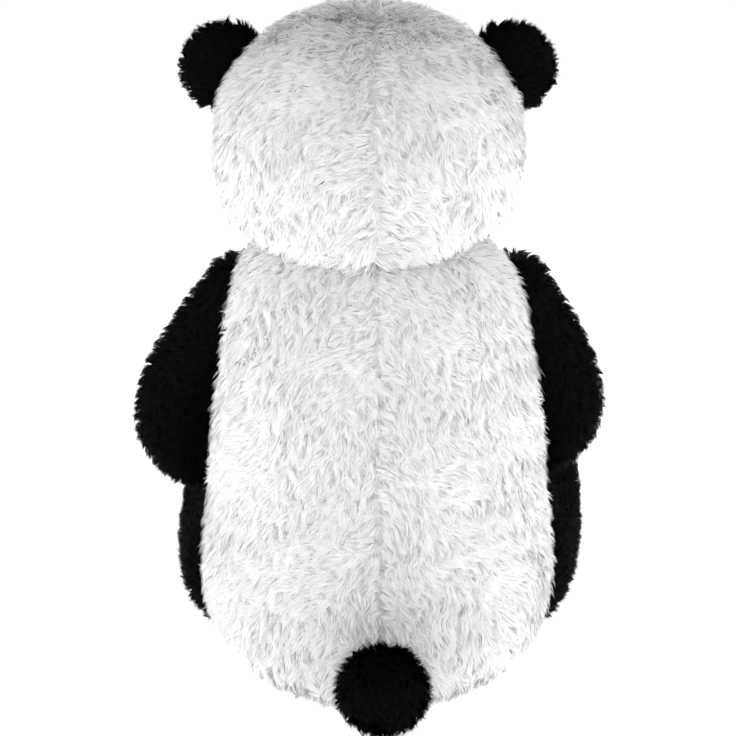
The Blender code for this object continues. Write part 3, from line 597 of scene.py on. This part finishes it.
def build_torso():
    form = Form(TORSO_RINGS, bend=TORSO_BEND, fullness=TORSO_FULLNESS)
    hidden = [(HEAD_CENTRE, 0.135)]
    for side in SIDES:
        hidden.append((SHOULDERS[side], 0.036))
        hidden.append((HIPS[side], 0.055))
    tail_neck = Vector((TAIL_HINGE.x, TAIL_HINGE.y + 0.01, TAIL_HINGE.z))
    hidden.append((tail_neck, 0.012))

    def open_air(points):
        free = np.ones(points.shape[:-1], bool)
        for centre, radius in hidden:
            free &= ~in_ball(points, centre, radius)
        return free

    def region(test):
        return lambda points, local: open_air(points) & test(points)

    seam = 0.0035 * np.exp(-((form.points[..., 0] - seam_line(form.points[..., 2])) / 0.006) ** 2)
    seam = np.where(form.points[..., 1] > 0.05, seam, 0.0)
    inner = form.inset(PILE_DEPTH + seam)
    side_at, seat_at, yoke_at = (0, SIDE_SEAM_Y, 0), (0, 0, SEAT_SEAM_Z), (0, 0, YOKE_SEAM_Z)
    to_front, to_back, down, up = (0, -1, 0), (0, 1, 0), (0, 0, -1), (0, 0, 1)
    for name, sign in SIDES.items():
        planes = [(side_at, to_front), (seat_at, down), ((LEAN, 0, 0), (-sign, 0, 0))]
        skin("back_backing_" + name, inner, planes, WHITE_BACKING_ROOT_SHADE, "torso",
             ["back_panel_" + name])
    skin("yoke_backing", inner, [(side_at, to_back), (yoke_at, down)], BLACK_BACKING, "torso",
         ["chest_yoke"])
    skin("belly_backing", inner, [(side_at, to_back), (seat_at, down), (yoke_at, up)], WHITE_BACKING_ROOT_SHADE,
         "torso", ["belly_panel"])
    skin("seat_backing", inner, [(seat_at, up)], WHITE_BACKING_ROOT_SHADE, "torso", ["seat_panel"])

    def combed(points):
        """Down and away from the centre seam."""
        gap = points[:, 0] - seam_line(points[:, 2])
        outward = np.sign(gap) * (0.9 * np.exp(-np.abs(gap) / 0.02) + 0.35)
        return np.stack([outward, np.zeros(len(points)), np.full(len(points), -1.0)], axis=-1)

    for name, sign in SIDES.items():
        white_pile("back_pile_" + name, form,
                   region(lambda p, s=sign: (p[..., 1] > SIDE_SEAM_Y) & (p[..., 2] > SEAT_SEAM_Z)
                          & ((p[..., 0] - LEAN) * s > 0)), "torso", combed, floor=GROUND_GAP)
    black_pile("yoke_pile", form, region(lambda p: (p[..., 1] < SIDE_SEAM_Y) & (p[..., 2] > YOKE_SEAM_Z)),
               "torso", lambda p: np.broadcast_to(np.array([0.0, 0.0, -1.0]), p.shape))
    white_pile("belly_pile", form,
               region(lambda p: (p[..., 1] < SIDE_SEAM_Y) & (p[..., 2] > SEAT_SEAM_Z)
                      & (p[..., 2] < YOKE_SEAM_Z)), "torso",
               lambda p: np.broadcast_to(np.array([0.0, 0.0, -1.0]), p.shape), floor=GROUND_GAP)
    white_pile("seat_pile", form, region(lambda p: p[..., 2] < SEAT_SEAM_Z), "torso",
               lambda p: p * np.array([1.0, 1.0, 0.0]) - np.array([0.0, 0.0, 0.3]), floor=GROUND_GAP,
               density=22000)


# ---------------------------------------------------------------- head

def face_height(x, z):
    """How far in front of the head's centre the face lies."""
    for upper, lower in zip(HEAD_RINGS, HEAD_RINGS[1:]):
        if lower[0] <= z <= upper[0]:
            share = (upper[0] - z) / (upper[0] - lower[0])
            width = upper[1] + (lower[1] - upper[1]) * share
            front = upper[2] + (lower[2] - upper[2]) * share
            return front * math.sqrt(1.0 - (x / width) ** 2)
    raise ValueError("the point lies above or below the head")


def turned_to(axis):
    return Vector((0, 0, 1)).rotation_difference(Vector(axis)).to_matrix().to_4x4()


def face_place(spot, side):
    """A frame on the face with its Z outwards."""
    x = spot.x * side
    step = 0.004
    along_x = Vector((2 * step, face_height(x - step, spot.z) - face_height(x + step, spot.z), 0))
    along_z = Vector((0, face_height(x, spot.z - step) - face_height(x, spot.z + step), 2 * step))
    outward = along_x.cross(along_z).normalized()
    middle = HEAD_CENTRE + Vector((x, -face_height(x, spot.z), spot.z))
    return Matrix.Translation(middle) @ turned_to(outward)


def patch_distance(points, side):
    """Less than 1 inside the eye patch of a side, seen from the front."""
    middle = np.array(face_place(EYE_SPOT, side).translation) + np.array(PATCH_SHIFT) * (side, 1, 1)
    across, up = points[..., 0] - middle[0], points[..., 2] - middle[2]
    turn = math.radians(PATCH_TILT) * side
    wide = across * math.cos(turn) + up * math.sin(turn)
    high = -across * math.sin(turn) + up * math.cos(turn)
    far = np.sqrt((wide / PATCH_SIZE[0]) ** 2 + (high / PATCH_SIZE[1]) ** 2)
    return np.where(points[..., 1] < 0, far, FAR_AWAY)


def muzzle_distance(points):
    """Less than 1 inside the muzzle."""
    inside = (points - np.array(HEAD_CENTRE + MUZZLE_SPOT)) / np.array(MUZZLE_SIZE)
    return np.linalg.norm(inside, axis=-1)


def build_head():
    form = Form(HEAD_RINGS, Matrix.Translation(HEAD_CENTRE))
    centre = np.array(HEAD_CENTRE)
    eyes = {side: face_place(EYE_SPOT, sign) for side, sign in SIDES.items()}
    ears = [ear_place(side) for side in SIDES]

    def open_air(points):
        free = muzzle_distance(points) > 0.93
        for place in ears:
            near = (points - np.array(place.translation)) @ np.array(place.to_3x3())
            flat = np.sqrt((near[..., 0] / 0.036) ** 2 + (near[..., 1] / 0.012) ** 2)
            free &= ~((flat < 1) & (np.abs(near[..., 2]) < 0.03))
        for place in eyes.values():
            free &= ~in_ball(points, place.translation, EYE_RADIUS * 1.05)
        return free

    def in_patch(points):
        return np.minimum(patch_distance(points, 1.0), patch_distance(points, -1.0)) < 1

    gap = form.points[..., 0] - seam_line(form.points[..., 2])
    seam = np.where(form.points[..., 1] > 0.02, 0.003 * np.exp(-(gap / 0.006) ** 2), 0.0)
    inner = form.inset(PILE_DEPTH + seam)
    seam_at = (0, HEAD_SEAM_Y, 0)
    for name, sign in SIDES.items():
        skin("head_backing_" + name, inner, [(seam_at, (0, -1, 0)), ((0, 0, 0), (-sign, 0, 0))],
             WHITE_BACKING_ROOT_SHADE, "head", ["head_back_" + name])
    skin("face_backing", inner, [(seam_at, (0, 1, 0))], WHITE_BACKING_ROOT_SHADE, "head",
         ["face_panel"])

    def combed(points):
        """Out from the crown and down, parting over the centre seam behind."""
        near = points - centre
        gap = points[:, 0] - seam_line(points[:, 2])
        behind = smoothstep(-0.03, 0.03, near[:, 1])
        outward = np.sign(gap) * (0.8 * np.exp(-np.abs(gap) / 0.025) + 0.45) * behind
        outward = outward + (1 - behind) * near[:, 0] / 0.1
        down = np.full(len(points), -0.75)
        depth = np.where(near[:, 1] > 0, 0.3, -0.4)
        return np.stack([outward, depth, down], axis=-1)

    for name, sign in SIDES.items():
        white_pile("head_pile_" + name, form,
                   lambda p, l, s=sign: open_air(p) & (p[..., 1] > HEAD_SEAM_Y) & (p[..., 0] * s > 0),
                   "head", combed)

    def from_face(points):
        """Out from between the eyes."""
        near = points - (centre + np.array([0.0, -0.15, 0.0]))
        return near * np.array([1.0, 0.2, 1.0]) + np.array([0.0, 0.0, 0.01])

    white_pile("face_pile", form,
               lambda p, l: open_air(p) & (p[..., 1] < HEAD_SEAM_Y) & ~in_patch(p), "head", from_face,
               length=0.0145, lean=(58, 8))
    for name, sign in SIDES.items():
        place = eyes[name]
        patch_grid = form.inset(PILE_DEPTH - PATCH_RAISE)
        patch_skin("eye_patch_backing_" + name, patch_grid, sign, name)

        def round_eye(points, spot=np.array(place.translation)):
            return points - spot
        black_pile("eye_patch_pile_" + name, form,
                   lambda p, l, s=sign: open_air(p) & (p[..., 1] < 0) & (patch_distance(p, s) < 1),
                   "head", round_eye, length=0.0125, lean=(55, 8), density=30000)
        build_eye(name, place)
    build_muzzle()


def patch_skin(name, grid, sign, side):
    """An eye patch's backing: the part of the face inside the patch's outline."""
    mesh = grid_mesh(name, grid)
    work = bmesh.new()
    work.from_mesh(mesh)
    bmesh.ops.recalc_face_normals(work, faces=work.faces)
    middles = np.array([face.calc_center_median()[:] for face in work.faces])
    outside = patch_distance(middles, sign) > 1.03
    bmesh.ops.delete(work, geom=[face for face, out in zip(work.faces[:], outside) if out],
                     context="FACES")
    work.to_mesh(mesh)
    work.free()
    mesh.shade_smooth()
    made = add_piece(name, mesh, BLACK_BACKING, "head")
    solid = made.modifiers.new("Backing", "SOLIDIFY")
    solid.thickness = PATCH_BACKING
    solid.offset = -1.0
    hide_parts("eye_patch_" + side)


def lathe(name, profile, segments=40):
    """A closed turned mesh from (radius, height) points, top to bottom, ends on the axis."""
    angles = np.linspace(0, 2 * math.pi, segments, endpoint=False)
    rows = [np.stack([r * np.cos(angles), r * np.sin(angles), np.full(segments, h)], axis=-1)
            for r, h in profile]
    return grid_mesh(name, np.stack(rows))


def build_eye(name, place):
    """A glossy dome with a thin rim, on its shank."""
    turns = np.radians(np.linspace(0, 90, 14))
    dome = [(EYE_RADIUS * math.sin(t), EYE_DOME * math.cos(t) - EYE_SINK) for t in turns]
    rim = [(0.0119, -0.0065), (0.0113, -0.0080), (0.0095, -0.0085), (0.0026, -0.0087),
           (0.0026, -0.0265), (0.0, -0.027)]
    mesh = lathe("eye_dome_" + name, dome + rim)
    work = bmesh.new()
    work.from_mesh(mesh)
    bmesh.ops.recalc_face_normals(work, faces=work.faces)
    work.to_mesh(mesh)
    work.free()
    mesh.transform(place)
    mesh.shade_smooth()
    made = add_piece("eye_dome_" + name, mesh, EYE_GLOSS, "head")
    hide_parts("eye_" + name)


def muzzle_depth(x, z):
    inside = 1.0 - (x / MUZZLE_SIZE.x) ** 2 - (z / MUZZLE_SIZE.z) ** 2
    return MUZZLE_SIZE.y * math.sqrt(max(0.0, inside))


def build_muzzle():
    rings = [(MUZZLE_SIZE.z * math.cos(t), MUZZLE_SIZE.x * math.sin(t), MUZZLE_SIZE.y * math.sin(t),
              MUZZLE_SIZE.y * math.sin(t)) for t in np.radians(np.linspace(0, 180, 13))]
    form = Form(rings, Matrix.Translation(HEAD_CENTRE + MUZZLE_SPOT), around=96, along=64)
    depth = 0.0065
    head_front = HEAD_CENTRE.y + MUZZLE_SPOT.y + 0.030
    skin("muzzle_backing", form.inset(depth), [((0, head_front, 0), (0, 1, 0))],
         WHITE_BACKING_ROOT_SHADE, "head", ["muzzle"])
    middle = np.array(HEAD_CENTRE + MUZZLE_SPOT)
    nose_at = np.array(HEAD_CENTRE + MUZZLE_SPOT) + np.array(
        [0, -muzzle_depth(0, NOSE_HEIGHT), NOSE_HEIGHT])

    def wanted(points, local):
        near_nose = (points - nose_at) / np.array([0.021, 0.03, 0.013])
        return (points[..., 1] < middle[1] + 0.012) & (np.linalg.norm(near_nose, axis=-1) > 1)

    def flow(points):
        return (points - nose_at) * np.array([1.0, 0.3, 1.0])
    white_pile("muzzle_pile", form, wanted, "head", flow, slot="muzzle_plush", density=52000,
               depth=depth, length=0.0085, lean=(55, 8), width=0.0009, spread=0.0026, strands=8)
    build_nose(nose_at)


def build_nose(spot):
    """A soft-cornered triangular nose, satin, wider at the top."""
    lean = Vector((0, -math.cos(math.radians(NOSE_TILT)), math.sin(math.radians(NOSE_TILT))))
    place = Matrix.Translation(Vector(spot.tolist())) @ turned_to(lean)
    mesh = bpy.data.meshes.new("nose_button")
    work = bmesh.new()
    bmesh.ops.create_uvsphere(work, u_segments=48, v_segments=28, radius=1.0)
    for vertex in work.verts:
        x, y, z = vertex.co
        narrow = 1.0 - 0.22 * smoothstep(-1.0, 1.0, -y) + 0.06 * y
        pinch = 0.10 * math.exp(-((abs(x) - 0.42) / 0.16) ** 2 - ((y + 0.30) / 0.22) ** 2)
        high = z * (1.0 if z > 0 else 0.5) - (pinch if z > 0 else 0.0)
        vertex.co = (x * NOSE_SIZE.x * float(narrow), y * NOSE_SIZE.z, high * NOSE_SIZE.y)
    work.to_mesh(mesh)
    work.free()
    mesh.transform(place)
    mesh.shade_smooth()
    made = add_piece("nose_button", mesh, NOSE_SATIN, "head")
    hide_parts("nose")


# ---------------------------------------------------------------- ears

def ear_place(side):
    lift = math.radians(90 - EAR_ANGLE) * SIDES[side]
    out = Matrix.Rotation(lift, 4, "Y")
    spot = out @ Vector((0, 0, EAR_REACH))
    return Matrix.Translation(HEAD_CENTRE + spot + Vector((0, EAR_Y, 0))) @ out


def build_ears():
    depth = 0.0055
    for side in SIDES:
        place = ear_place(side)
        form = Form(EAR_RINGS, place, around=96, along=64)
        middle = np.array(place.translation)
        out = np.array(place.to_3x3() @ Vector((0, 0, 1)))
        inner = form.inset(depth)
        body = "ear_" + side
        for part, way in (("front", 1.0), ("back", -1.0)):
            normal = (0, way, 0)
            skin("ear_%s_backing_%s" % (part, side), inner, [(place.translation, normal)],
                 BLACK_BACKING, body, ["ear_%s_%s" % (part, side)], thickness=EAR_BACKING)

            def flow(points, base=middle, out=out):
                return (points - base) + out * 0.02
            black_pile("ear_%s_pile_%s" % (part, side), form,
                       lambda p, l, w=way: (l[..., 1] * w < 0) & (l[..., 2] > -0.012), body, flow,
                       depth=depth, length=0.0125, lean=(45, 20), density=42000, spread=0.0028)


# ---------------------------------------------------------------- arms, legs and tail

def arm_place(side):
    """The arm's frame at the shoulder: its length along -Z."""
    spread = Matrix.Rotation(math.radians(-ARM_SPREAD[side]) * SIDES[side], 4, "Y")
    forward = Matrix.Rotation(math.radians(-ARM_FORWARD[side]), 4, "X")
    return Matrix.Translation(SHOULDERS[side]) @ forward @ spread


def leg_place(side):
    """The leg's frame at the hip: its length along -Z, to the front."""
    splay = Matrix.Rotation(math.radians(LEG_SPLAY[side]) * SIDES[side], 4, "Z")
    forward = Matrix.Rotation(math.radians(-90), 4, "X")
    return Matrix.Translation(HIPS[side]) @ splay @ forward


def build_arm(side):
    sign = SIDES[side]
    place = arm_place(side)
    form = Form(ARM_RINGS, place, bend=[value * sign for value in ARM_BEND], around=112, along=90)
    inner = form.inset(PILE_DEPTH)
    down = place.to_3x3() @ Vector((0, 0, -1))
    across = place.to_3x3() @ Vector((1, 0, 0))
    for part, way in (("outer", sign), ("inner", -sign)):
        skin("arm_%s_backing_%s" % (part, side), inner, [(place.translation, -across * way)],
             BLACK_BACKING, "arm_" + side, ["arm_%s_%s" % (part, side)])
        black_pile("arm_%s_pile_%s" % (part, side), form,
                   lambda p, l, w=way: (l[..., 0] * w > 0), "arm_" + side,
                   lambda p: np.broadcast_to(np.array(down), p.shape))


def build_leg(side):
    place = leg_place(side)
    form = Form(LEG_RINGS, place, bend=[value * SIDES[side] for value in LEG_BEND], around=112,
                along=90)
    inner = form.inset(PILE_DEPTH)
    turn = place.to_3x3()
    forward, back = turn @ Vector((0, 0, -1)), turn @ Vector((0, 0, 1))
    sole_at = place @ Vector((0, 0, SOLE_START))
    body = "leg_" + side
    for part, way in (("top", (0, 0, -1)), ("under", (0, 0, 1))):
        skin("leg_%s_backing_%s" % (part, side), inner, [(place.translation, way), (sole_at, forward)],
             BLACK_BACKING, body, ["leg_%s_%s" % (part, side)])
        high = -1 if part == "top" else 1
        black_pile("leg_%s_pile_%s" % (part, side), form,
                   lambda p, l, h=high: (l[..., 1] * h > 0) & (l[..., 2] > SOLE_START), body,
                   lambda p: np.broadcast_to(np.array(forward), p.shape), floor=GROUND_GAP)
    build_sole(side, form, sole_at, back, body)


def build_sole(side, form, sole_at, back, body):
    """A padded foot of brushed cloth, with short nap."""
    pad = form.inset(0.0025)
    pad[..., 2] = np.maximum(pad[..., 2], 0.0015)
    skin("sole_pad_" + side, pad, [(sole_at, back)], SOLE_CLOTH, body,
         ["sole_" + side])
    black_pile("sole_nap_" + side, form, lambda p, l: l[..., 2] < SOLE_START - 0.002, body,
               lambda p: np.broadcast_to(np.array([0.0, 0.0, -1.0]), p.shape), slot="sole_fabric",
               depth=0.0028, length=0.0045, lean=(50, 15), density=60000, width=0.0007,
               spread=0.0022, strands=6, floor=GROUND_GAP)


def build_tail():
    turn = Matrix.Rotation(math.radians(TAIL_TURN), 4, "X")
    back = Matrix.Rotation(math.radians(90), 4, "X")
    place = Matrix.Translation(TAIL_HINGE) @ turn @ back
    form = Form(TAIL_RINGS, place, around=96, along=72)
    depth = 0.0075
    inner = form.inset(np.minimum(depth, 0.4 * np.linalg.norm(form.local[..., :2], axis=-1)))
    up = place.to_3x3() @ Vector((0, 1, 0))
    out = np.array(place.to_3x3() @ Vector((0, 0, -1)))
    middle = np.array(place @ Vector((0, 0, -0.050)))
    for part, way in (("upper", 1.0), ("lower", -1.0)):
        skin("tail_%s_backing" % part, inner, [(place.translation, -up * way)], BLACK_BACKING, "tail",
             ["tail_" + part])

        def flow(points):
            return unit(points - middle) * 0.5 + out * 0.8 + np.array([0.0, 0.0, -0.25])
        black_pile("tail_%s_pile" % part, form,
                   lambda p, l, w=way: (l[..., 1] * w > 0) & (l[..., 2] < -0.012), "tail", flow,
                   depth=depth, length=0.0150, lean=(60, 30), density=42000, spread=0.0034,
                   floor=GROUND_GAP)


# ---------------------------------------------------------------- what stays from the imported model

def paint_inner_pieces():
    """The stuffing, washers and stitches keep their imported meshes.

    The shoulders' and hips' wads are wrapped in the limbs' black cloth, which shows at the seam.
    """
    for name, node in frame["nodes"].items():
        if name.startswith(("shoulder_stuffing", "hip_stuffing")):
            look = BLACK_BACKING
        elif "stuffing" in name:
            look = WADDING
        elif "washer" in name:
            look = WASHER
        elif "stitch" in name:
            look = THREAD
        else:
            continue
        node.data.materials.clear()
        node.data.materials.append(look)


# ---------------------------------------------------------------- floor, light and camera

def build_set():
    """A white floor and room, with lamps at the sides, above, behind and in front."""
    bpy.ops.mesh.primitive_plane_add(size=16, location=(0, 0, 0))
    floor = bpy.context.object
    floor.name = "floor"
    look, nodes, links, shader = new_material("floor_white", 0.9)
    shader.inputs["Base Color"].default_value = (0.93, 0.93, 0.93, 1)
    shader.inputs["Emission Color"].default_value = (1, 1, 1, 1)
    shader.inputs["Emission Strength"].default_value = FLOOR_GLOW
    floor.data.materials.append(look)
    world = bpy.data.worlds.new("studio")
    world.use_nodes = True
    bpy.context.scene.world = world
    nodes, links = world.node_tree.nodes, world.node_tree.links
    light = nodes["Background"]
    light.inputs["Color"].default_value = (1, 1, 1, 1)
    light.inputs["Strength"].default_value = ROOM_LIGHT
    seen = nodes.new("ShaderNodeBackground")
    seen.inputs["Color"].default_value = (1, 1, 1, 1)
    seen.inputs["Strength"].default_value = 1.0
    path = nodes.new("ShaderNodeLightPath")
    mix = nodes.new("ShaderNodeMixShader")
    links.new(path.outputs["Is Camera Ray"], mix.inputs["Fac"])
    links.new(light.outputs["Background"], mix.inputs[1])
    links.new(seen.outputs["Background"], mix.inputs[2])
    links.new(mix.outputs["Shader"], nodes["World Output"].inputs["Surface"])
    for name, spot, size, energy in LAMPS:
        lamp = bpy.data.lights.new(name, "AREA")
        lamp.shape = "DISK"
        lamp.size = size
        lamp.energy = energy
        made = bpy.data.objects.new(name, lamp)
        made.location = spot
        aim = Vector(MIDDLE) - Vector(spot)
        made.rotation_euler = aim.to_track_quat("-Z", "Y").to_euler()
        bpy.context.scene.collection.objects.link(made)
    bpy.context.scene.view_settings.view_transform = "Standard"


def build_camera():
    """Behind the panda and a little above it, with a long lens."""
    elevation = math.radians(CAMERA_RISE)
    target = Vector(MIDDLE)
    back = Vector((0, math.cos(elevation), math.sin(elevation)))
    data = bpy.data.cameras.new("camera")
    data.lens = CAMERA_LENS
    data.sensor_width = 36
    camera = bpy.data.objects.new("camera", data)
    camera.location = target + back * CAMERA_DISTANCE
    camera.rotation_euler = (-back).to_track_quat("-Z", "Y").to_euler()
    bpy.context.scene.collection.objects.link(camera)
    bpy.context.scene.camera = camera


build_camera()
build_set()
build_torso()
build_head()
build_ears()
for each_side in SIDES:
    build_arm(each_side)
    build_leg(each_side)
build_tail()
paint_inner_pieces()
